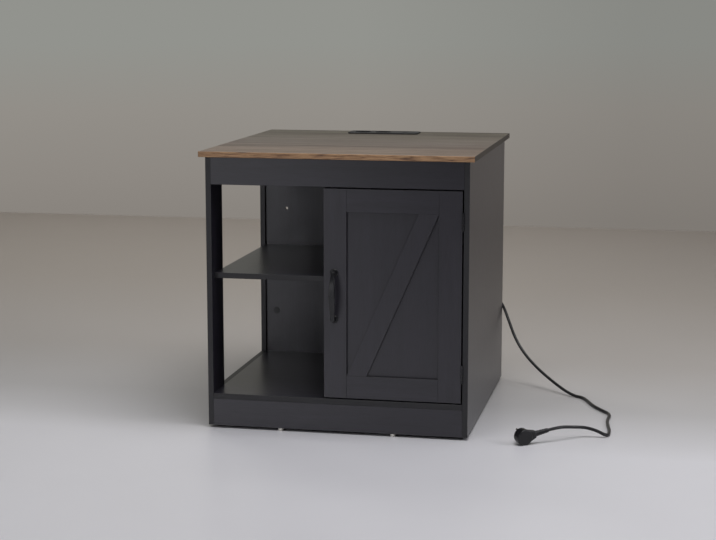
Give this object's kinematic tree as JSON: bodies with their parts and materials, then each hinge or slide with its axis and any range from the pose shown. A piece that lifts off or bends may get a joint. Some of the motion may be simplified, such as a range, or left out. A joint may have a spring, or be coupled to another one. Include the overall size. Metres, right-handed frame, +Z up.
{
  "type": "side table",
  "caption": "Storage side table with open shelves on one side, a braced hinged door on the other and a power unit in the top.",
  "frame": {"origin": "on the floor, in the middle of the footprint with the door handle counted in", "axes": "+Z up, front of the door towards -Y, +X to the right seen from the front"},
  "size_m": [0.8864, 0.6605, 0.615],
  "materials": {
    "black_board": "black wood-effect melamine on chipboard, satin",
    "rustic_board": "rustic grey-brown oak decor on chipboard, matt",
    "black_zinc": "black powder coat, satin",
    "zinc_plate": "bright zinc plating",
    "beech": "raw fluted beech",
    "black_plastic": "fine moulded texture",
    "white_plastic": "smooth moulded",
    "cap_plastic": "black cover cap, satin",
    "glide_plastic": "hard pale plastic",
    "ferrite": "ground ferrite block",
    "contact_metal": "nickel-plated brass",
    "cord_jacket": "black flexible PVC",
    "pin_metal": "nickel plating"
  },
  "bodies": {
    "table": {"top_panel": "rustic_board", "right_side_panel": "black_board", "left_front_stile": "black_board", "left_rear_stile": "black_board", "left_top_rail": "black_board", "left_bottom_rail": "black_board", "front_top_rail": "black_board", "rear_top_rail": "black_board", "front_plinth": "black_board", "rear_plinth": "black_board", "back_panel": "black_board", "bottom_shelf": "black_board", "middle_shelf": "black_board", "inner_shelf": "black_board", "divider_panel": "black_board", "wood_dowels": "beech", "cam_locks": "zinc_plate", "cam_bolts": "zinc_plate", "cam_caps": "cap_plastic", "shelf_pins": "zinc_plate", "floor_glides": "glide_plastic", "lower_hinge_frame_leaf": "black_zinc", "upper_hinge_frame_leaf": "black_zinc", "hinge_pins": "black_zinc", "hinge_frame_screws": "black_zinc", "magnetic_catch_body": "white_plastic", "catch_magnet": "ferrite", "catch_screws": "zinc_plate", "power_unit_bezel": "black_plastic", "power_unit_housing": "black_plastic", "left_socket": "black_plastic", "right_socket": "black_plastic", "socket_earth_clips": "contact_metal", "usb_charger_module": "black_plastic", "power_unit_clamps": "black_plastic", "cord_strain_relief": "cord_jacket", "mains_cord": "cord_jacket", "plug_body": "cord_jacket", "plug_pins": "pin_metal", "plug_strain_relief": "cord_jacket"},
    "door": {"door_panel": "black_board", "door_left_stile": "black_board", "door_right_stile": "black_board", "door_top_rail": "black_board", "door_bottom_rail": "black_board", "door_brace": "black_board", "door_handle": "black_zinc", "handle_screws": "zinc_plate", "lower_hinge_door_leaf": "black_zinc", "upper_hinge_door_leaf": "black_zinc", "hinge_door_screws": "black_zinc", "catch_strike_plate": "zinc_plate", "strike_plate_screws": "zinc_plate"}
  },
  "joints": [
    {"name": "door_hinge", "type": "hinge", "parent": "table", "child": "door", "pos_m": [0.2745, -0.2958, 0.309], "axis": [0, 0, 1], "range_deg": [0, 170]}
  ]
}
